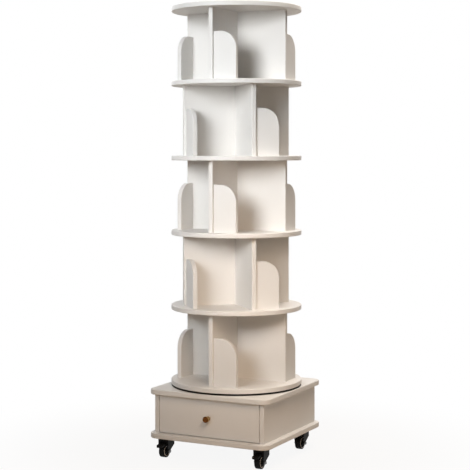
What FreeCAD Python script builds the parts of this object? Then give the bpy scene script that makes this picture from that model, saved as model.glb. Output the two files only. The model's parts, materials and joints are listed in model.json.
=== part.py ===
import FreeCAD, Part

import math
import os

from FreeCAD import Vector

# Revolving bookcase: five tiers of books on round boards that turn on a drawer base with casters.
# The origin is on the floor under the turning axis, +Z is up and the drawer opens towards -Y.
# Driving dimensions are in millimetres and degrees.

# Round shelf boards and the tiers between them
disc_diameter = 460.0
disc_thickness = 16.0
tier_count = 5
tier_clear_height = 246.0
tier_turn = 45.0

# Dividers that cross at the axis
divider_thickness = 16.0
divider_tip_inset = 35.0

# Low bookends at the divider tips
bookend_thickness = 16.0
bookend_reach = 86.0
bookend_height = 164.0
bookend_corner_radius = 60.0
bookend_setback = 8.0

# Turntable between the base and the lowest board
turntable_plate_side = 180.0
turntable_plate_thickness = 1.5
turntable_pivot_diameter = 30.0
slide_pad_side = 24.0
slide_pad_inset = 8.0
slide_pad_thickness = 2.7
turntable_gap = 0.3

# Base plates, which are as wide and as deep as the round boards, and cabinet
base_width = disc_diameter
base_depth = disc_diameter
base_plate_thickness = 18.0
base_corner_radius = 35.0
base_overhang = 20.0
cabinet_height = 133.0
cabinet_panel_thickness = 16.0

# Drawer
drawer_front_thickness = 16.0
drawer_front_gap = 2.0
drawer_side_thickness = 12.0
drawer_side_lift = 6.0
drawer_side_drop = 24.0
drawer_back_thickness = 12.0
drawer_rear_space = 14.0
drawer_bottom_thickness = 4.0
drawer_bottom_lift = 8.0
drawer_bottom_groove = 5.0
drawer_bottom_play = 0.2

# Drawer runners
runner_height = 12.0
runner_groove_depth = 6.0
runner_play = 0.3

# Knob
knob_neck_diameter = 17.0
knob_neck_length = 14.0
knob_head_diameter = 21.0
knob_head_length = 10.0

# Casters: place, wheel and axle
caster_side_inset = 46.0
caster_front_inset = 59.0
caster_back_inset = 73.5
caster_trail = 18.0
wheel_diameter = 45.0
wheel_width = 21.0
wheel_side_play = 0.5
axle_diameter = 5.0
axle_nut_width = 10.0
axle_nut_thickness = 6.0
axle_head_thickness = 1.5

# Casters: fork, mounting plate and kingpin
fork_arm_thickness = 2.5
fork_boss_width = 15.0
fork_boss_length = 6.8
fork_hood_flare = 2.2
fork_crown_thickness = 11.5
fork_front_reach = 27.0
fork_back_reach = 19.0
fork_back_corner = 3.0
fork_wheel_cover = 1.0
fork_front_gap = 1.0
swivel_gap = 0.3
mount_plate_side = 42.0
mount_plate_thickness = 2.7
mount_plate_corner = 4.0
kingpin_diameter = 8.0
kingpin_head_width = 13.0
kingpin_head_thickness = 1.5
running_clearance = 0.05

# Front casters: brake pedal, which rests pressed down with its shoe close to the tread
pedal_width = 23.0
pedal_side_gap = 1.0
pedal_hub_height = 8.0
pedal_pin_diameter = 3.5
pedal_overhang = 16.5
pedal_tip_drop = 6.0
pedal_tip_thickness = 7.0
pedal_tip_corner = 4.0
pedal_headroom = 2.1
brake_gap = 0.4

# Places worked out from the driving dimensions
wheel_radius = wheel_diameter / 2
disc_radius = disc_diameter / 2
divider_tip = disc_radius - divider_tip_inset
divider_half = divider_thickness / 2

pedal_pivot_z = wheel_diameter + brake_gap + pedal_hub_height / 2
crown_bottom = wheel_diameter + brake_gap + pedal_hub_height + pedal_headroom
crown_top = crown_bottom + fork_crown_thickness
mount_plate_bottom = crown_top + swivel_gap
caster_height = mount_plate_bottom + mount_plate_thickness
boss_inner_half = wheel_width / 2 + wheel_side_play
boss_outer_half = boss_inner_half + fork_boss_length
fork_outer_half = boss_outer_half + fork_hood_flare
fork_inner_half = fork_outer_half - fork_arm_thickness
hood_bottom = wheel_diameter - fork_wheel_cover
hood_front = -fork_front_reach + fork_arm_thickness
hood_front_bottom = wheel_diameter + fork_front_gap

cabinet_bottom = caster_height + base_plate_thickness
cabinet_top = cabinet_bottom + cabinet_height
base_top_z = cabinet_top + base_plate_thickness
slide_pad_bottom = base_top_z + turntable_plate_thickness
upper_plate_bottom = slide_pad_bottom + slide_pad_thickness + turntable_gap
carousel_bottom = upper_plate_bottom + turntable_plate_thickness
tier_pitch = disc_thickness + tier_clear_height

cabinet_half_width = base_width / 2 - base_overhang
cabinet_half_depth = base_depth / 2 - base_overhang
cabinet_inner_half = cabinet_half_width - cabinet_panel_thickness
cabinet_back_face = cabinet_half_depth - cabinet_panel_thickness

drawer_half_width = cabinet_inner_half - drawer_front_gap
drawer_front_bottom = cabinet_bottom + drawer_front_gap
drawer_front_top = cabinet_top - drawer_front_gap
drawer_front_face = -cabinet_half_depth
drawer_box_front = drawer_front_face + drawer_front_thickness
drawer_box_back = cabinet_back_face - drawer_rear_space
drawer_side_bottom = drawer_front_bottom + drawer_side_lift
drawer_side_top = drawer_front_top - drawer_side_drop
drawer_side_inner = drawer_half_width - drawer_side_thickness
drawer_bottom_z = drawer_side_bottom + drawer_bottom_lift
drawer_bottom_half = drawer_side_inner + drawer_bottom_groove - drawer_bottom_play
runner_z = (drawer_side_bottom + drawer_side_top) / 2

UP = Vector(0, 0, 1)
RIGHT = Vector(1, 0, 0)
BACKWARDS = Vector(0, 1, 0)
AXIS_POINT = Vector(0, 0, 0)
QUARTER_TURN = 90.0
TOUCH = 0.001


def box(x_range, y_range, z_range):
    size = [high - low for low, high in (x_range, y_range, z_range)]
    return Part.makeBox(*size, Vector(x_range[0], y_range[0], z_range[0]))


def upright_cylinder(diameter, z_range):
    return Part.makeCylinder(diameter / 2, z_range[1] - z_range[0], Vector(0, 0, z_range[0]))


def cross_cylinder(diameter, half_length, y, z):
    """A cylinder along X, centred on X = 0."""
    return Part.makeCylinder(diameter / 2, 2 * half_length, Vector(-half_length, y, z), RIGHT)


def side_prism(points, x_range):
    """A straight-edged outline in the YZ plane, extruded along X."""
    corners = [Vector(x_range[0], y, z) for y, z in points]
    outline = Part.makePolygon(corners + corners[:1])
    return Part.Face(outline).extrude(RIGHT * (x_range[1] - x_range[0]))


def front_prism(points, y_range):
    """A straight-edged outline in the XZ plane, extruded along Y."""
    corners = [Vector(x, y_range[0], z) for x, z in points]
    outline = Part.makePolygon(corners + corners[:1])
    return Part.Face(outline).extrude(BACKWARDS * (y_range[1] - y_range[0]))


def turned(shape, angle):
    copy = shape.copy()
    copy.rotate(AXIS_POINT, UP, angle)
    return copy


def moved(shape, offset):
    copy = shape.copy()
    copy.translate(offset)
    return copy


def mirrored_in_x(shape):
    return shape.mirror(AXIS_POINT, RIGHT)


def joined(first, *others):
    return first.fuse(list(others)).removeSplitter().Solids[0]


def cut_from(shape, *tools):
    return shape.cut(list(tools)).Solids[0]


def upright_edges(shape):
    return [edge for edge in shape.Edges if len(edge.Vertexes) == 2
            and abs(edge.Vertexes[0].Z - edge.Vertexes[1].Z) > TOUCH]


def regular_polygon(sides, width):
    """The corners of a regular polygon with a flat at the bottom, measured across its flats."""
    half_step = math.pi / sides
    corner_radius = width / 2 / math.cos(half_step)
    angles = [(2 * corner + 1) * half_step - math.pi / 2 for corner in range(sides)]
    return [(corner_radius * math.cos(angle), corner_radius * math.sin(angle)) for angle in angles]


def tangent_point(point, centre, radius, side):
    """Where a line from the point touches the circle, in the YZ plane."""
    away = math.atan2(point[1] - centre[1], point[0] - centre[0])
    spread = math.acos(radius / math.dist(point, centre))
    angle = away + side * spread
    return (centre[0] + radius * math.cos(angle), centre[1] + radius * math.sin(angle))


def shelf_disc(bottom):
    return upright_cylinder(disc_diameter, (bottom, bottom + disc_thickness))


def divider(inner_end, bottom):
    """A divider along +X, from inner_end to the tip."""
    return box((inner_end, divider_tip), (-divider_half, divider_half), (bottom, bottom + tier_clear_height))


def bookend(bottom):
    """The bookend of the divider that points along +X. It stands off that divider towards +Y."""
    outer = divider_tip - bookend_setback
    inner = outer - bookend_thickness
    seat = divider_half
    free_end = seat + bookend_reach
    top = bottom + bookend_height
    arc_centre = Vector(inner, free_end - bookend_corner_radius, top - bookend_corner_radius)
    arc_middle = arc_centre + Vector(0, 1, 1).normalize() * bookend_corner_radius
    arc_start = Vector(inner, free_end, arc_centre.z)
    arc_end = Vector(inner, arc_centre.y, top)
    foot_near = Vector(inner, seat, bottom)
    foot_far = Vector(inner, free_end, bottom)
    seat_top = Vector(inner, seat, top)
    outline = Part.Wire([
        Part.makeLine(foot_near, foot_far),
        Part.makeLine(foot_far, arc_start),
        Part.Arc(arc_start, arc_middle, arc_end).toShape(),
        Part.makeLine(arc_end, seat_top),
        Part.makeLine(seat_top, foot_near),
    ])
    return Part.Face(outline).extrude(RIGHT * bookend_thickness)


def carousel():
    """The round boards, with a cross of dividers and four bookends on each tier."""
    nodes = {}
    for tier in range(1, tier_count + 1):
        disc_bottom = carousel_bottom + (tier - 1) * tier_pitch
        floor = disc_bottom + disc_thickness
        turn = tier_turn * ((tier + 1) % 2)
        nodes[f"shelf_disc_{tier}"] = shelf_disc(disc_bottom)
        nodes[f"long_divider_{tier}"] = turned(divider(-divider_tip, floor), turn)
        short = divider(divider_half, floor)
        nodes[f"short_divider_a_{tier}"] = turned(short, turn - QUARTER_TURN)
        nodes[f"short_divider_b_{tier}"] = turned(short, turn + QUARTER_TURN)
        stand = bookend(floor)
        nodes[f"bookends_{tier}"] = Part.makeCompound(
            [turned(stand, turn + arm * QUARTER_TURN) for arm in range(4)])
    nodes["top_disc"] = shelf_disc(carousel_bottom + tier_count * tier_pitch)
    return nodes


def turntable():
    """Two plates that turn about a pivot, with slide pads between them that carry the load."""
    half_side = turntable_plate_side / 2
    span = (-half_side, half_side)
    lower_plate = box(span, span, (base_top_z, slide_pad_bottom))
    pivot = upright_cylinder(turntable_pivot_diameter, (base_top_z, carousel_bottom - turntable_gap))
    pad_far = half_side - slide_pad_inset
    pad_span = (pad_far - slide_pad_side, pad_far)
    pad = box(pad_span, pad_span, (slide_pad_bottom, slide_pad_bottom + slide_pad_thickness))
    upper_span = (upper_plate_bottom, carousel_bottom)
    upper_plate = box(span, span, upper_span)
    pivot_hole = upright_cylinder(turntable_pivot_diameter + 2 * running_clearance, upper_span)
    return {
        "turntable_lower_plate": joined(lower_plate, pivot),
        "turntable_slide_pads": Part.makeCompound(
            [turned(pad, corner * QUARTER_TURN) for corner in range(4)]),
        "turntable_upper_plate": cut_from(upper_plate, pivot_hole),
    }


def base_plate(bottom):
    half_width = base_width / 2
    half_depth = base_depth / 2
    plate = box((-half_width, half_width), (-half_depth, half_depth),
                (bottom, bottom + base_plate_thickness))
    return plate.makeFillet(base_corner_radius, upright_edges(plate)).Solids[0]


def cabinet():
    """The base plates and the walls between them, with a runner on each side wall."""
    upright = (cabinet_bottom, cabinet_top)
    depth = (-cabinet_half_depth, cabinet_half_depth)
    right_side = box((cabinet_inner_half, cabinet_half_width), depth, upright)
    runner_reach = drawer_front_gap + runner_groove_depth - runner_play
    runner = box((cabinet_inner_half - runner_reach, cabinet_inner_half),
                 (drawer_box_front + runner_play, cabinet_back_face),
                 (runner_z - runner_height / 2, runner_z + runner_height / 2))
    return {
        "base_bottom": base_plate(caster_height),
        "base_top": base_plate(cabinet_top),
        "base_left_side": mirrored_in_x(right_side),
        "base_right_side": right_side,
        "base_back": box((-cabinet_inner_half, cabinet_inner_half),
                         (cabinet_back_face, cabinet_half_depth), upright),
        "drawer_left_runner": mirrored_in_x(runner),
        "drawer_right_runner": runner,
    }


def drawer_side():
    """The right side, with a groove for the runner outside and one for the bottom inside."""
    length = (drawer_box_front, drawer_box_back)
    panel = box((drawer_side_inner, drawer_half_width), length, (drawer_side_bottom, drawer_side_top))
    groove_half = runner_height / 2 + runner_play
    runner_groove = box((drawer_half_width - runner_groove_depth, drawer_half_width), length,
                        (runner_z - groove_half, runner_z + groove_half))
    return cut_from(panel, runner_groove, bottom_groove(drawer_box_back))


def bottom_groove(back):
    """The space that the drawer's bottom panel needs, cut into the front and the sides."""
    half_width = drawer_side_inner + drawer_bottom_groove
    return box((-half_width, half_width), (drawer_box_front - drawer_bottom_groove, back),
               (drawer_bottom_z, drawer_bottom_z + drawer_bottom_thickness + drawer_bottom_play))


def drawer():
    right_side = drawer_side()
    front = box((-drawer_half_width, drawer_half_width), (drawer_front_face, drawer_box_front),
                (drawer_front_bottom, drawer_front_top))
    bottom_top = drawer_bottom_z + drawer_bottom_thickness
    return {
        "drawer_front": cut_from(front, bottom_groove(drawer_box_front)),
        "drawer_left_side": mirrored_in_x(right_side),
        "drawer_right_side": right_side,
        "drawer_back": box((-drawer_side_inner, drawer_side_inner),
                           (drawer_box_back - drawer_back_thickness, drawer_box_back),
                           (bottom_top, drawer_side_top)),
        "drawer_bottom": box((-drawer_bottom_half, drawer_bottom_half),
                             (drawer_box_front - drawer_bottom_groove + drawer_bottom_play, drawer_box_back),
                             (drawer_bottom_z, bottom_top)),
        "drawer_knob": knob(),
    }


def knob():
    """A turned knob on the middle of the drawer front: a neck and a flat round head."""
    front_middle = Vector(0, drawer_front_face, (drawer_front_bottom + drawer_front_top) / 2)
    outwards = Vector(0, -1, 0)
    neck = Part.makeCylinder(knob_neck_diameter / 2, knob_neck_length, front_middle, outwards)
    head = Part.makeCylinder(knob_head_diameter / 2, knob_head_length,
                             front_middle + outwards * knob_neck_length, outwards)
    return joined(neck, head)


def caster_mount():
    """The square plate under the base, with the kingpin that the fork swivels on."""
    half_side = mount_plate_side / 2
    span = (-half_side, half_side)
    plate = box(span, span, (mount_plate_bottom, caster_height))
    plate = plate.makeChamfer(mount_plate_corner, upright_edges(plate))
    head_top = crown_bottom - swivel_gap
    pin = upright_cylinder(kingpin_diameter, (head_top, mount_plate_bottom))
    corners = [Vector(x, y, head_top) for x, y in regular_polygon(6, kingpin_head_width)]
    head = Part.Face(Part.makePolygon(corners + corners[:1])).extrude(UP * -kingpin_head_thickness)
    return joined(plate, pin, head)


def plain_fork():
    """A hood over the top of the wheel, with arms that sweep down and in to bosses round the axle.

    The axle trails towards -Y, so the wheel comes out under the hood's front.
    """
    arm_front = -caster_trail - fork_boss_width
    lean = hood_bottom * fork_hood_flare / (hood_bottom - wheel_radius - fork_boss_width / 2)

    def space_between_arms(top, y_range):
        right = [(fork_inner_half - lean, 0), (fork_inner_half, hood_bottom), (fork_inner_half, top)]
        left = [(-x, z) for x, z in reversed(right)]
        return front_prism(right + left, y_range)

    axle = (-caster_trail, wheel_radius)
    boss_outline = [(axle[0] + y, axle[1] + z) for y, z in regular_polygon(8, fork_boss_width)]
    arm_end = boss_outline[5:] + boss_outline[:2]
    solid = side_prism([(-fork_front_reach, crown_top), *arm_end, (fork_back_reach, hood_bottom),
                        (fork_back_reach, crown_top)], (-fork_outer_half, fork_outer_half))
    back_corners = [edge for edge in upright_edges(solid) if edge.BoundBox.YMin > fork_back_reach - TOUCH]
    solid = solid.makeChamfer(fork_back_corner, back_corners)
    outside = front_prism([(fork_outer_half, hood_bottom), (fork_outer_half - lean, 0), (fork_outer_half, 0)],
                          (arm_front, fork_back_reach))
    hood_space = space_between_arms(crown_bottom, (hood_front, fork_back_reach - fork_arm_thickness))
    wheel_space = space_between_arms(hood_front_bottom, (arm_front, hood_front))
    boss = side_prism(boss_outline, (boss_inner_half, boss_outer_half))
    solid = cut_from(solid, outside, mirrored_in_x(outside), hood_space, wheel_space)
    solid = joined(solid, boss, mirrored_in_x(boss))
    kingpin_hole = upright_cylinder(kingpin_diameter + 2 * running_clearance, (crown_bottom, crown_top))
    axle_hole = cross_cylinder(axle_diameter + 2 * running_clearance, fork_outer_half, *axle)
    return cut_from(solid, kingpin_hole, axle_hole)


def braked_fork():
    """The same fork with a slot in the hood's front for the brake pedal, and holes for its pin."""
    pedal_hole = cross_cylinder(pedal_pin_diameter + 2 * running_clearance, fork_outer_half,
                                -caster_trail, pedal_pivot_z)
    slot_half = pedal_width / 2 + pedal_side_gap
    pedal_slot = box((-slot_half, slot_half), (-fork_front_reach, hood_front),
                     (hood_front_bottom, crown_bottom))
    return cut_from(plain_fork(), pedal_hole, pedal_slot)


def wheel():
    tread = cross_cylinder(wheel_diameter, wheel_width / 2, -caster_trail, wheel_radius)
    bore = cross_cylinder(axle_diameter + 2 * running_clearance, wheel_width / 2, -caster_trail, wheel_radius)
    return cut_from(tread, bore)


def axle_bolt():
    """A bolt through the fork arms, with a low hexagonal head on the left and a nut on the right."""
    shaft = cross_cylinder(axle_diameter, boss_outer_half, -caster_trail, wheel_radius)
    outline = [(y - caster_trail, z + wheel_radius) for y, z in regular_polygon(6, axle_nut_width)]
    head = side_prism(outline, (-boss_outer_half - axle_head_thickness, -boss_outer_half))
    nut = side_prism(outline, (boss_outer_half, boss_outer_half + axle_nut_thickness))
    return joined(shaft, head, nut)


def brake_pedal():
    """A lever between the fork arms. Its underside just clears the tread, and its tip is trodden on."""
    tip_y = -caster_trail - wheel_radius - pedal_overhang
    tip_bottom = (tip_y, wheel_diameter - pedal_tip_drop)
    tip_top = (tip_y, tip_bottom[1] + pedal_tip_thickness)
    shoe_radius = wheel_radius + brake_gap
    shoe = tangent_point(tip_bottom, (-caster_trail, wheel_radius), shoe_radius, -1)
    heel = (-caster_trail, wheel_radius + shoe_radius)
    hub_back = (pedal_hub_height / 2 - caster_trail, pedal_pivot_z)
    crest = (-caster_trail, pedal_pivot_z + pedal_hub_height / 2)
    half_width = pedal_width / 2
    lever = side_prism([tip_bottom, shoe, heel, hub_back, crest, tip_top], (-half_width, half_width))
    tip_corners = [edge for edge in upright_edges(lever) if edge.CenterOfMass.y < tip_y + TOUCH]
    lever = lever.makeChamfer(pedal_tip_corner, tip_corners)
    pin = cross_cylinder(pedal_pin_diameter, fork_outer_half, -caster_trail, pedal_pivot_z)
    return joined(lever, pin)


def casters():
    """The four casters, all trailing towards the front. The front two have brakes."""
    side = base_width / 2 - caster_side_inset
    front = -(base_depth / 2 - caster_front_inset)
    back = base_depth / 2 - caster_back_inset
    running_gear = {"caster_wheel": wheel(), "caster_axle": axle_bolt()}
    rows = {
        "front": (front, {"caster_fork": braked_fork(), "brake_pedal": brake_pedal(), **running_gear}),
        "back": (back, {"caster_fork": plain_fork(), **running_gear}),
    }
    mount = caster_mount()
    nodes = {}
    mounts = []
    for row, (y, pieces) in rows.items():
        for hand, x in (("left", -side), ("right", side)):
            place = Vector(x, y, 0)
            mounts.append(moved(mount, place))
            for piece, shape in pieces.items():
                nodes[f"{piece}_{row}_{hand}"] = moved(shape, place)
    nodes["caster_mounts"] = Part.makeCompound(mounts)
    return nodes


def main():
    os.makedirs("parts", exist_ok=True)
    for group in (carousel(), turntable(), cabinet(), drawer(), casters()):
        for node, shape in group.items():
            shape.exportStep(f"parts/{node}.step")


main()
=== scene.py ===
import json
import math

import bmesh
import bpy
from mathutils import Matrix, Vector

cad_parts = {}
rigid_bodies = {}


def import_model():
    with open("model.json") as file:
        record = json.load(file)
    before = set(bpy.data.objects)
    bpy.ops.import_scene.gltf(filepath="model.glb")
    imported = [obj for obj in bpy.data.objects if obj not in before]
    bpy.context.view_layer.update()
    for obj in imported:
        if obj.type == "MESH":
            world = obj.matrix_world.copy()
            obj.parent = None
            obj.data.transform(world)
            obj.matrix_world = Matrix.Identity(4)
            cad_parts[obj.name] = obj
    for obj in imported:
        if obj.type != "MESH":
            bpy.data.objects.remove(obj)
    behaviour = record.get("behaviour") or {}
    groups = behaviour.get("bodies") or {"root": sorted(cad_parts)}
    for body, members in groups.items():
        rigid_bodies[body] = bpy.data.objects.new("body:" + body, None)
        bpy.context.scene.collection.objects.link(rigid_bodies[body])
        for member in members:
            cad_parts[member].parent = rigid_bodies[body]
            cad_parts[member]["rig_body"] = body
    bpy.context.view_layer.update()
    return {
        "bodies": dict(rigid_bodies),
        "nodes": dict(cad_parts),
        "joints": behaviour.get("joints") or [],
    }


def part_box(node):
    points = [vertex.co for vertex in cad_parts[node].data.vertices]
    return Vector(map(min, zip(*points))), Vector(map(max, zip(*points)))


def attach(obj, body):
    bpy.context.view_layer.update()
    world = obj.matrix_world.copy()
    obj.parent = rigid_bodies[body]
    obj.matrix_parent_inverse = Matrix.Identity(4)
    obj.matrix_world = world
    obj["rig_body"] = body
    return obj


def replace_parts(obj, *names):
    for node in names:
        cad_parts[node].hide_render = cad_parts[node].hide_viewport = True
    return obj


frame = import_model()

# Looks of a revolving bookcase in off-white painted board. All lengths are in metres.

# Camera: level, to the right of the drawer, in the photograph's frame of 470 x 470 pixels
PHOTO_SIDE = 470
CAMERA_AZIMUTH = math.radians(27.06)
CAMERA_DISTANCE = 4.582
CAMERA_HEIGHT = 1.066
FOCAL_PIXELS = 1293.8
AXIS_PIXEL_X = 236.44
HORIZON_PIXEL_Y = 150.3
SENSOR_WIDTH = 36.0

# Eased edges of the boards
DISC_EASE = 0.0022
DIVIDER_EASE = 0.0020
BOOKEND_EASE = 0.0022
BASE_PLATE_EASE = 0.0035
PANEL_EASE = 0.0012
DRAWER_EASE = 0.0012

# Small metal and moulded pieces
METAL_EASE = 0.0006
FORK_EASE = 0.0010
ARM_END_ROUND = 0.0028
ARM_END_REACH = 0.0100
MOULDED_EASE = 0.0010
PEDAL_RIB_COUNT = 4
PEDAL_RIB_PITCH = 0.0032
PEDAL_RIB_SIZE = (0.0160, 0.0013, 0.0009)
PEDAL_RIB_EASE = 0.3 * PEDAL_RIB_SIZE[2]
PEDAL_RIB_START = 0.0050
PEDAL_TIP_THICKNESS = 0.0070

# How edges are rounded and picked. MOSTLY is the share of a length that counts as nearly all of it.
EASE_SEGMENTS = 4
RIB_EASE_SEGMENTS = 2
ROUND_PROFILE = 0.5
SHARP_ANGLE = math.radians(35)
FLAT_ANGLE = math.radians(0.4)
WELD = 1e-6
TOUCH = 1e-4
MOSTLY = 0.9

# Knob: how far out from the drawer front and how far from its own axis its outline goes
KNOB_STEPS = 64
KNOB_BODY = [(0.0, 0.0), (0.0, 0.0080), (0.0012, 0.0084), (0.0130, 0.0094), (0.0155, 0.0099),
             (0.0168, 0.0103), (0.0185, 0.0105), (0.0218, 0.0104)]
KNOB_FACE = [(0.0218, 0.0104), (0.0233, 0.0098), (0.0240, 0.0086), (0.0240, 0.0074), (0.0234, 0.0066),
             (0.0232, 0.0040), (0.0232, 0.0)]

# Wheel: how far out from its middle and how far from the axle its outline goes
WHEEL_STEPS = 80
WHEEL_CENTRE = [(0.0, 0.0026), (0.0103, 0.0026), (0.0103, 0.0062), (0.0098, 0.0069), (0.0076, 0.0076),
                (0.0072, 0.0086), (0.0072, 0.0138), (0.0078, 0.0150), (0.0096, 0.0156)]
WHEEL_RING = [(0.0096, 0.0156), (0.0103, 0.0161), (0.0105, 0.0169), (0.0103, 0.0177), (0.0096, 0.0182)]
WHEEL_TYRE = [(0.0096, 0.0182), (0.0095, 0.0185), (0.0104, 0.0195), (0.0105, 0.0209), (0.0100, 0.0219),
              (0.0090, 0.0224), (0.0074, 0.0225), (0.0053, 0.0225), (0.0048, 0.0220), (0.0043, 0.0225),
              (0.0, 0.0225)]

# Colours, as linear red, green and blue
BOARD_WHITE = (0.80, 0.785, 0.76)
BOARD_SHADE = (0.775, 0.757, 0.728)
# Painted shade: the dark colour of the patch that stands in for the shadow in the gap under the lowest
# turning board
GAP_PAINTED_SHADE = (0.010, 0.009, 0.008)
RUNNER_WOOD = (0.42, 0.26, 0.13)
# Copper of the knob's face: its own colour, darkened further as painted reflection of dark surroundings
DARK_REFLECTION_COPPER = (0.12, 0.042, 0.010)
BRASS = (0.42, 0.26, 0.085)
ZINC = (0.56, 0.56, 0.57)
AXLE_GREY = (0.20, 0.20, 0.205)
BLACK_PAINT = (0.0048, 0.0044, 0.0042)
TYRE_BLACK = (0.0065, 0.0065, 0.0065)
RIM_GREY = (0.62, 0.62, 0.63)
NYLON = (0.72, 0.71, 0.67)
FLOOR_PALE = (0.56, 0.44, 0.32)
WHITE = (1, 1, 1)

# Noise in the materials: features per metre, and the number of finer layers where it isn't the usual
# one. A band holds the noise values between which a colour or a roughness goes from one end to the other.
NOISE_LAYERS = 3.0
ROUGHNESS_BAND = (0.3, 0.7)

# Painted board
PAINT_MOTTLE = (5.0, 4.0)
PAINT_MOTTLE_BAND = (0.35, 0.65)
PAINT_GLOSS_SCALE = 40.0
PAINT_ROUGHNESS = (0.42, 0.56)
PAINT_SPECULAR = 0.4
PAINT_WAVES = (120.0, 1.0)
PAINT_WAVE_DEPTH = 0.00006
PAINT_PEEL = (1400.0, 2.0)
PAINT_PEEL_DEPTH = 0.00002

# Round area of the base top, under the turning boards, that is painted dark: painted shade that stands in
# for the shadow in the gap under them
GAP_SHADE_RADIUS = 0.2296
GAP_SHADE_BLUR = 0.0008

# Bare wood of the runners, with its grain drawn out along the drawer's slide
WOOD_GRAIN = (160.0, 5.0, (1, 0.06, 1))
WOOD_GRAIN_BAND = (0.35, 0.68)
WOOD_GRAIN_DEPTH = 0.00008
WOOD_DARKNESS = 0.62
WOOD_ROUGHNESS = 0.6

# Bare metals: colour and range of roughness
KNOB_BRASS = (BRASS, (0.25, 0.42))
KNOB_DARK_REFLECTION_COPPER = (DARK_REFLECTION_COPPER, (0.30, 0.48))
AXLE_ZINC = (AXLE_GREY, (0.35, 0.52))
TURNTABLE_ZINC = (ZINC, (0.35, 0.55))
TARNISH = (260.0, 5.0)
TARNISH_BAND = (0.35, 0.62)
TARNISH_DARKNESS = 0.62
METAL_GLOSS_SCALE = 420.0
METAL_GRAIN = (1500.0, 2.0)
METAL_GRAIN_DEPTH = 0.00001

# Dull surfaces of the casters: colour, range of roughness, noise of the grain and its depth
CASTER_PAINT = (BLACK_PAINT, (0.42, 0.56), (900.0, 2.0), 0.00002)
CASTER_PLASTIC = (BLACK_PAINT, (0.45, 0.60), (1600.0, 2.0), 0.00003)
TYRE_RUBBER = (TYRE_BLACK, (0.55, 0.75), (1200.0, 2.0), 0.00004)
RING_PLASTIC = (RIM_GREY, (0.30, 0.42), (1500.0, 2.0), 0.00001)
DUST = (90.0, 5.0)
DUST_BAND = (0.40, 0.75)
DUST_GAIN = 1.7
DUST_LIFT = 0.001
DULL_GLOSS_SCALE = 220.0
DULL_SPECULAR = 0.08

# Nylon of the slide pads
NYLON_PATCH_SCALE = 70.0
NYLON_PATCH_BAND = (0.3, 0.7)
NYLON_DARKNESS = 0.9
NYLON_ROUGHNESS = 0.5

# Studio: floor and even light
FLOOR_RADIUS = 6.0
FLOOR_STEPS = 96
FLOOR_ROUGHNESS = 0.8
FLOOR_FADE = (0.35, 1.2)
FLOOR_WHITENESS = 0.91
AMBIENT_COLOUR = (1.0, 0.96, 0.92)
AMBIENT_STRENGTH = 0.04

# Softboxes: name, azimuth, height, distance, side, power, colour, height of the aim, beam angle.
# Azimuth 0 stands in front of the drawer and grows towards the right.
SOFTBOXES = [
    ("main", 0, 1.8, 2.6, 1.2, 6.1, (0.94, 0.97, 1.0), 1.2, 44),
    ("low", 36, 1.0, 1.1, 0.4, 1.5, (1.0, 0.77, 0.58), 0.18, 90),
    ("top", 95, 3.2, 1.0, 0.8, 36.0, (1.0, 0.91, 0.82), 0.6, 180),
    ("rear", 172, 2.4, 2.0, 1.0, 23.0, (1.0, 0.96, 0.91), 0.6, 180),
    ("back", 235, 2.0, 2.4, 1.4, 20.0, (1.0, 1.0, 1.0), 0.8, 180),
]


def new_material(name):
    material = bpy.data.materials.new(name)
    material.use_nodes = True
    return material, material.node_tree, material.node_tree.nodes["Principled BSDF"]


def add_node(tree, kind, inputs=None, **settings):
    """A node with some settings, whose inputs are given as values or as sockets to link from."""
    node = tree.nodes.new(kind)
    for name, value in settings.items():
        setattr(node, name, value)
    for name, value in (inputs or {}).items():
        if isinstance(value, bpy.types.NodeSocket):
            tree.links.new(value, node.inputs[name])
        else:
            node.inputs[name].default_value = value
    return node


def noise(tree, scale, layers=NOISE_LAYERS, stretch=(1, 1, 1)):
    """Noise that stays in place on the piece, with scale in features per metre."""
    place = add_node(tree, "ShaderNodeTexCoord")
    stretched = add_node(tree, "ShaderNodeMapping", {"Vector": place.outputs["Object"], "Scale": stretch})
    return add_node(tree, "ShaderNodeTexNoise", {"Vector": stretched.outputs["Vector"], "Scale": scale,
                                                 "Detail": layers}).outputs["Fac"]


def ramp(tree, value, band, *colours):
    """A colour that goes from the first of two colours to the second across a band of the value."""
    node = add_node(tree, "ShaderNodeValToRGB", {"Fac": value})
    for element, position, colour in zip(node.color_ramp.elements, band, colours):
        element.position = position
        element.color = (*colour, 1)
    return node.outputs["Color"]


def map_range(tree, value, source, target, **settings):
    inputs = {"Value": value, "From Min": source[0], "From Max": source[1],
              "To Min": target[0], "To Max": target[1]}
    return add_node(tree, "ShaderNodeMapRange", inputs, **settings).outputs["Result"]


def math_node(tree, operation, first, second):
    return add_node(tree, "ShaderNodeMath", {0: first, 1: second}, operation=operation).outputs[0]


def bump(tree, height, depth, normal=None):
    inputs = {"Height": height, "Distance": depth, "Strength": 1.0}
    if normal is not None:
        inputs["Normal"] = normal
    return add_node(tree, "ShaderNodeBump", inputs).outputs["Normal"]


def scaled(colour, factor, lift=0.0):
    return tuple(factor * part + lift for part in colour)


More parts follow.
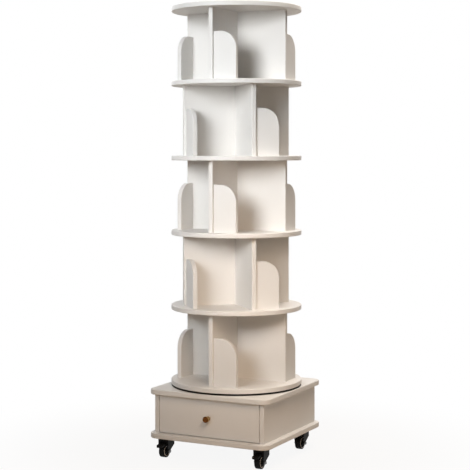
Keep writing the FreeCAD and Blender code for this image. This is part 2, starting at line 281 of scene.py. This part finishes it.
def painted_board(name, gap_shade_height=None):
    """Sprayed satin paint: faint mottling, a fine orange-peel surface and uneven gloss.

    With a gap height, the round area above it, which the turning boards cover, gets painted shade: a dark
    patch that stands in for the shadow in the gap under them.
    """
    material, tree, shader = new_material(name)
    colour = ramp(tree, noise(tree, *PAINT_MOTTLE), PAINT_MOTTLE_BAND, BOARD_SHADE, BOARD_WHITE)
    if gap_shade_height is not None:
        colour = paint_gap_shade(tree, colour, gap_shade_height)
    tree.links.new(colour, shader.inputs["Base Color"])
    gloss = map_range(tree, noise(tree, PAINT_GLOSS_SCALE), ROUGHNESS_BAND, PAINT_ROUGHNESS)
    tree.links.new(gloss, shader.inputs["Roughness"])
    shader.inputs["Specular IOR Level"].default_value = PAINT_SPECULAR
    waves = bump(tree, noise(tree, *PAINT_WAVES), PAINT_WAVE_DEPTH)
    peel = bump(tree, noise(tree, *PAINT_PEEL), PAINT_PEEL_DEPTH, waves)
    tree.links.new(peel, shader.inputs["Normal"])
    return material


def paint_gap_shade(tree, colour, height):
    """Painted shade: turns the colour dark close to the axis and above the height, standing in for the
    shadow in the gap under the turning boards.
    """
    place = add_node(tree, "ShaderNodeTexCoord").outputs["Object"]
    parts = add_node(tree, "ShaderNodeSeparateXYZ", {"Vector": place})
    above = math_node(tree, "GREATER_THAN", parts.outputs["Z"], height)
    flat = add_node(tree, "ShaderNodeVectorMath", {0: place, 1: (1, 1, 0)}, operation="MULTIPLY")
    distance = add_node(tree, "ShaderNodeVectorMath", {0: flat.outputs["Vector"]}, operation="LENGTH")
    inside = map_range(tree, distance.outputs["Value"], (GAP_SHADE_RADIUS - GAP_SHADE_BLUR, GAP_SHADE_RADIUS), (1.0, 0.0))
    share = math_node(tree, "MULTIPLY", inside, above)
    # The colours of a Mix node are its inputs 6 and 7 and its output 2.
    mix = add_node(tree, "ShaderNodeMix", data_type="RGBA")
    tree.links.new(share, mix.inputs[0])
    tree.links.new(colour, mix.inputs[6])
    mix.inputs[7].default_value = (*GAP_PAINTED_SHADE, 1)
    return mix.outputs[2]


def bare_wood():
    material, tree, shader = new_material("runner_wood")
    grain = noise(tree, *WOOD_GRAIN)
    colour = ramp(tree, grain, WOOD_GRAIN_BAND, scaled(RUNNER_WOOD, WOOD_DARKNESS), RUNNER_WOOD)
    tree.links.new(colour, shader.inputs["Base Color"])
    shader.inputs["Roughness"].default_value = WOOD_ROUGHNESS
    tree.links.new(bump(tree, grain, WOOD_GRAIN_DEPTH), shader.inputs["Normal"])
    return material


def worn_metal(name, colour, roughness):
    """Bare metal with faint tarnish and rubbed patches."""
    material, tree, shader = new_material(name)
    tarnished = ramp(tree, noise(tree, *TARNISH), TARNISH_BAND, scaled(colour, TARNISH_DARKNESS), colour)
    tree.links.new(tarnished, shader.inputs["Base Color"])
    gloss = map_range(tree, noise(tree, METAL_GLOSS_SCALE), ROUGHNESS_BAND, roughness)
    tree.links.new(gloss, shader.inputs["Roughness"])
    shader.inputs["Metallic"].default_value = 1.0
    tree.links.new(bump(tree, noise(tree, *METAL_GRAIN), METAL_GRAIN_DEPTH), shader.inputs["Normal"])
    return material


def dull_surface(name, colour, roughness, grain, grain_depth):
    """Moulded or painted surface with a fine grain and dusty patches."""
    material, tree, shader = new_material(name)
    dusty = ramp(tree, noise(tree, *DUST), DUST_BAND, colour, scaled(colour, DUST_GAIN, DUST_LIFT))
    tree.links.new(dusty, shader.inputs["Base Color"])
    gloss = map_range(tree, noise(tree, DULL_GLOSS_SCALE), ROUGHNESS_BAND, roughness)
    tree.links.new(gloss, shader.inputs["Roughness"])
    shader.inputs["Specular IOR Level"].default_value = DULL_SPECULAR
    tree.links.new(bump(tree, noise(tree, *grain), grain_depth), shader.inputs["Normal"])
    return material


def nylon():
    material, tree, shader = new_material("slide_nylon")
    patches = noise(tree, NYLON_PATCH_SCALE)
    colour = ramp(tree, patches, NYLON_PATCH_BAND, scaled(NYLON, NYLON_DARKNESS), NYLON)
    tree.links.new(colour, shader.inputs["Base Color"])
    shader.inputs["Roughness"].default_value = NYLON_ROUGHNESS
    return material


def smooth(shape):
    """Smooth shading, with a crease at each sharp edge."""
    for face in shape.faces:
        face.smooth = True
    for edge in shape.edges:
        edge.smooth = len(edge.link_faces) == 2 and edge.calc_face_angle() < SHARP_ANGLE


def place_mesh(name, mesh_builder, body, slot, *materials):
    """Turns a bmesh into a piece that rides on a body."""
    mesh = bpy.data.meshes.new(name)
    mesh_builder.to_mesh(mesh)
    mesh_builder.free()
    for material in materials:
        mesh.materials.append(material)
    piece = bpy.data.objects.new(name, mesh)
    bpy.context.scene.collection.objects.link(piece)
    piece.modifiers.new("weighted_normals", "WEIGHTED_NORMAL").keep_sharp = True
    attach(piece, body)
    return piece


def body_of(node):
    return frame["nodes"][node]["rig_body"]


def joint_place(name):
    return next(Vector(joint["pos_m"]) for joint in frame["joints"] if joint["name"] == name)


def dress(node, material):
    """Gives a node's own solid a material."""
    frame["nodes"][node].data.materials.clear()
    frame["nodes"][node].data.materials.append(material)


def ease_edges(shape, ease, is_free):
    """Rounds each sharp edge that is_free picks."""
    edges = [edge for edge in shape.edges if len(edge.link_faces) == 2
             and edge.calc_face_angle() > SHARP_ANGLE and is_free(edge)]
    bmesh.ops.bevel(shape, geom=edges, offset=ease, segments=EASE_SEGMENTS, profile=ROUND_PROFILE,
                    affect="EDGES", clamp_overlap=True)


def eased_copy(node, ease, is_free, slot, material, *larger_rounds):
    """A copy of a node's solid with a rounded edge wherever is_free says that the edge lies open.

    Larger rounds, each a size and its own choice of edges, come first.
    """
    copy = bmesh.new()
    copy.from_mesh(frame["nodes"][node].data)
    bmesh.ops.remove_doubles(copy, verts=copy.verts, dist=WELD)
    bmesh.ops.dissolve_limit(copy, angle_limit=FLAT_ANGLE, verts=copy.verts, edges=copy.edges)
    for size, picks in (*larger_rounds, (ease, is_free)):
        ease_edges(copy, size, picks)
    for face in copy.faces:
        face.material_index = 0
    smooth(copy)
    piece = place_mesh(f"{node}_finish", copy, body_of(node), slot, material)
    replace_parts(piece, node)


def any_edge(edge):
    return True


def is_upright(edge):
    first, second = (vertex.co for vertex in edge.verts)
    return abs(first.z - second.z) > MOSTLY * (first - second).length


def middle_of(edge):
    return (edge.verts[0].co + edge.verts[1].co) / 2


def carousel(board):
    """The round boards, the dividers and the bookends, with their open edges eased."""
    tip_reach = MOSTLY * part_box("long_divider_1")[1].x

    def at_divider_tip(edge):
        return is_upright(edge) and middle_of(edge).xy.length > tip_reach

    def off_the_shelf(edge):
        return middle_of(edge).z > bookend_foot + TOUCH

    for node in [name for name in frame["nodes"] if body_of(name) == "carousel"]:
        if "disc" in node:
            eased_copy(node, DISC_EASE, any_edge, "painted_board", board)
        elif "divider" in node:
            eased_copy(node, DIVIDER_EASE, at_divider_tip, "painted_board", board)
        elif node.startswith("bookends"):
            bookend_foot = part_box(node)[0].z
            eased_copy(node, BOOKEND_EASE, off_the_shelf, "painted_board", board)


def base_cabinet(board):
    # Painted shade: the base top's round area under the turning boards is painted dark to stand in for
    # the shadow in the gap
    gap_shade_board = painted_board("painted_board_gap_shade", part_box("base_top")[1].z - TOUCH)
    eased_copy("base_top", BASE_PLATE_EASE, any_edge, "painted_board", gap_shade_board)
    eased_copy("base_bottom", BASE_PLATE_EASE, any_edge, "painted_board", board)
    for node in ("base_left_side", "base_right_side", "base_back"):
        eased_copy(node, PANEL_EASE, is_upright, "painted_board", board)


def drawer_boards(board):
    front_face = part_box("drawer_front")[0].y

    def on_front_face(edge):
        return all(vertex.co.y < front_face + TOUCH for vertex in edge.verts)

    def on_top(edge):
        return middle_of(edge).z > top - TOUCH

    eased_copy("drawer_front", DRAWER_EASE, on_front_face, "painted_board", board)
    for node in ("drawer_left_side", "drawer_right_side", "drawer_back"):
        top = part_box(node)[1].z
        eased_copy(node, DRAWER_EASE, on_top, "drawer_board", board)
    dress("drawer_bottom", board)


def lathe(outline, axis_point, along, steps):
    """A turned shape. The outline holds runs of (along the axis, from the axis), one run per material."""
    shape = bmesh.new()
    along = Vector(along)
    out = along.orthogonal().normalized()
    for index, run in enumerate(outline):
        corners = [shape.verts.new(Vector(axis_point) + along * far + out * wide) for far, wide in run]
        edges = [shape.edges.new(pair) for pair in zip(corners, corners[1:])]
        bmesh.ops.spin(shape, geom=corners + edges, cent=axis_point, axis=along, angle=math.tau,
                       steps=steps, use_merge=True)
        for face in shape.faces:
            if not face.tag:
                face.material_index = index
                face.tag = True
    bmesh.ops.remove_doubles(shape, verts=shape.verts, dist=WELD)
    bmesh.ops.recalc_face_normals(shape, faces=shape.faces)
    smooth(shape)
    return shape


def knob(brass, copper):
    low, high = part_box("drawer_knob")
    seat = Vector(((low.x + high.x) / 2, high.y, (low.z + high.z) / 2))
    shape = lathe([KNOB_BODY, KNOB_FACE], seat, (0, -1, 0), KNOB_STEPS)
    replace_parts(place_mesh("knob_finish", shape, "drawer", "knob_metal", brass, copper), "drawer_knob")


def wheel(corner, centre_plastic, ring_plastic, rubber):
    """A turned half and its mirror image, joined in the wheel's middle."""
    middle = joint_place(f"wheel_spin_{corner}")
    shape = lathe([WHEEL_CENTRE, WHEEL_RING, WHEEL_TYRE], middle, (1, 0, 0), WHEEL_STEPS)
    other = shape.copy()
    bmesh.ops.transform(other, matrix=Matrix.Scale(-1, 4, (1, 0, 0)), verts=other.verts,
                        space=Matrix.Translation(-middle))
    bmesh.ops.reverse_faces(other, faces=other.faces)
    other_half = bpy.data.meshes.new("other_half")
    other.to_mesh(other_half)
    other.free()
    shape.from_mesh(other_half)
    bpy.data.meshes.remove(other_half)
    bmesh.ops.remove_doubles(shape, verts=shape.verts, dist=WELD)
    piece = place_mesh(f"wheel_{corner}_finish", shape, f"wheel_{corner}", "caster_wheel",
                       centre_plastic, ring_plastic, rubber)
    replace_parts(piece, f"caster_wheel_{corner}")


def pedal_ribs(corner, plastic):
    """Raised ribs across the part of the pedal that is trodden on."""
    low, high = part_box(f"brake_pedal_{corner}")
    pivot = joint_place(f"brake_pedal_{corner}")
    tip_top = Vector((pivot.x, low.y, low.z + PEDAL_TIP_THICKNESS))
    crest = Vector((pivot.x, pivot.y, high.z))
    uphill = (crest - tip_top).normalized()
    ribs = bmesh.new()
    turn = Matrix.Rotation(math.atan2(uphill.z, uphill.y), 4, "X")
    for rib in range(PEDAL_RIB_COUNT):
        middle = tip_top + uphill * (PEDAL_RIB_START + rib * PEDAL_RIB_PITCH)
        place = Matrix.Translation(middle) @ turn @ Matrix.Diagonal((*PEDAL_RIB_SIZE, 1))
        bmesh.ops.create_cube(ribs, size=1.0, matrix=place)
    bmesh.ops.bevel(ribs, geom=ribs.edges[:], offset=PEDAL_RIB_EASE, segments=RIB_EASE_SEGMENTS,
                    profile=ROUND_PROFILE, affect="EDGES")
    smooth(ribs)
    place_mesh(f"pedal_{corner}_ribs", ribs, f"pedal_{corner}", "pedal_plastic", plastic)


def fork(corner, paint):
    """The hooded fork, with the ends of its arms rounded about the axle."""
    axle = joint_place(f"wheel_spin_{corner}")

    def at_arm_end(edge):
        run = edge.verts[0].co - edge.verts[1].co
        return abs(run.x) > MOSTLY * run.length and (middle_of(edge) - axle).yz.length < ARM_END_REACH

    eased_copy(f"caster_fork_{corner}", FORK_EASE, any_edge, "caster_metal", paint,
               (ARM_END_ROUND, at_arm_end))


def casters():
    paint = dull_surface("caster_paint", *CASTER_PAINT)
    plastic = dull_surface("caster_plastic", *CASTER_PLASTIC)
    rubber = dull_surface("tyre_rubber", *TYRE_RUBBER)
    ring_plastic = dull_surface("wheel_ring", *RING_PLASTIC)
    steel = worn_metal("axle_zinc", *AXLE_ZINC)
    eased_copy("caster_mounts", METAL_EASE, any_edge, "caster_metal", paint)
    for corner in [name.removeprefix("wheel_") for name in frame["bodies"] if name.startswith("wheel_")]:
        fork(corner, paint)
        eased_copy(f"caster_axle_{corner}", METAL_EASE, any_edge, "axle_steel", steel)
        wheel(corner, plastic, ring_plastic, rubber)
        if f"pedal_{corner}" in frame["bodies"]:
            eased_copy(f"brake_pedal_{corner}", MOULDED_EASE, any_edge, "pedal_plastic", plastic)
            pedal_ribs(corner, plastic)


def turntable_and_runners():
    steel = worn_metal("turntable_zinc", *TURNTABLE_ZINC)
    dress("turntable_lower_plate", steel)
    dress("turntable_upper_plate", steel)
    dress("turntable_slide_pads", nylon())
    wood = bare_wood()
    dress("drawer_left_runner", wood)
    dress("drawer_right_runner", wood)


def camera():
    view = bpy.data.cameras.new("camera")
    view.sensor_width = SENSOR_WIDTH
    view.lens = FOCAL_PIXELS * SENSOR_WIDTH / PHOTO_SIDE
    view.shift_x = (PHOTO_SIDE / 2 - AXIS_PIXEL_X) / PHOTO_SIDE
    view.shift_y = (HORIZON_PIXEL_Y - PHOTO_SIDE / 2) / PHOTO_SIDE
    camera_object = bpy.data.objects.new("camera", view)
    camera_object.location = (CAMERA_DISTANCE * math.sin(CAMERA_AZIMUTH),
                              -CAMERA_DISTANCE * math.cos(CAMERA_AZIMUTH), CAMERA_HEIGHT)
    camera_object.rotation_euler = (math.pi / 2, 0, CAMERA_AZIMUTH)
    bpy.context.scene.collection.objects.link(camera_object)
    bpy.context.scene.camera = camera_object


def seen_directly(tree):
    """1 for rays that show the backdrop itself, from the camera, in gloss or through glass."""
    rays = add_node(tree, "ShaderNodeLightPath").outputs
    first = math_node(tree, "MAXIMUM", rays["Is Camera Ray"], rays["Is Glossy Ray"])
    return math_node(tree, "MAXIMUM", first, rays["Is Transmission Ray"])


def world():
    """A white backdrop to look at, and a dimmer even light from all around."""
    sky = bpy.data.worlds.new("studio")
    bpy.context.scene.world = sky
    sky.use_nodes = True
    tree = sky.node_tree
    ambient = tree.nodes["Background"]
    ambient.inputs["Color"].default_value = (*AMBIENT_COLOUR, 1)
    ambient.inputs["Strength"].default_value = AMBIENT_STRENGTH
    backdrop = add_node(tree, "ShaderNodeBackground", {"Color": (*WHITE, 1), "Strength": 1.0})
    mix = add_node(tree, "ShaderNodeMixShader", {0: seen_directly(tree), 1: ambient.outputs[0],
                                                 2: backdrop.outputs[0]})
    tree.links.new(mix.outputs[0], tree.nodes["World Output"].inputs["Surface"])


def floor():
    """A pale floor that fades to the white backdrop and keeps a soft shadow near the object."""
    material, tree, shader = new_material("pale_floor")
    shader.inputs["Base Color"].default_value = (*FLOOR_PALE, 1)
    shader.inputs["Roughness"].default_value = FLOOR_ROUGHNESS
    place = add_node(tree, "ShaderNodeTexCoord").outputs["Object"]
    distance = add_node(tree, "ShaderNodeVectorMath", {0: place}, operation="LENGTH").outputs["Value"]
    fade = map_range(tree, distance, FLOOR_FADE, (FLOOR_WHITENESS, 1.0), interpolation_type="SMOOTHSTEP")
    share = math_node(tree, "MULTIPLY", seen_directly(tree), fade)
    white = add_node(tree, "ShaderNodeEmission", {"Color": (*WHITE, 1), "Strength": 1.0})
    mix = add_node(tree, "ShaderNodeMixShader", {0: share, 1: shader.outputs[0], 2: white.outputs[0]})
    tree.links.new(mix.outputs[0], tree.nodes["Material Output"].inputs["Surface"])
    shape = bmesh.new()
    bmesh.ops.create_circle(shape, cap_ends=True, segments=FLOOR_STEPS, radius=FLOOR_RADIUS)
    mesh = bpy.data.meshes.new("floor")
    shape.to_mesh(mesh)
    shape.free()
    mesh.materials.append(material)
    plane = bpy.data.objects.new("floor", mesh)
    bpy.context.scene.collection.objects.link(plane)


def softbox(name, azimuth, height, distance, side, power, colour, aim_height, beam):
    """A square area light that points at the turning axis."""
    lamp = bpy.data.lights.new(name, "AREA")
    lamp.shape = "SQUARE"
    lamp.size = side
    lamp.energy = power
    lamp.spread = math.radians(beam)
    lamp.color = colour
    lamp_object = bpy.data.objects.new(name, lamp)
    angle = math.radians(azimuth)
    lamp_object.location = (distance * math.sin(angle), -distance * math.cos(angle), height)
    aim = Vector((0, 0, aim_height)) - lamp_object.location
    lamp_object.rotation_euler = aim.to_track_quat("-Z", "Y").to_euler()
    bpy.context.scene.collection.objects.link(lamp_object)


board = painted_board("painted_board")
carousel(board)
base_cabinet(board)
drawer_boards(board)
# The knob's copper face carries a painted dark reflection in its colour
knob(worn_metal("knob_brass", *KNOB_BRASS), worn_metal("knob_copper_dark_reflection", *KNOB_DARK_REFLECTION_COPPER))
casters()
turntable_and_runners()
floor()
world()
for light in SOFTBOXES:
    softbox(*light)
camera()
bpy.context.scene.view_settings.view_transform = "Standard"
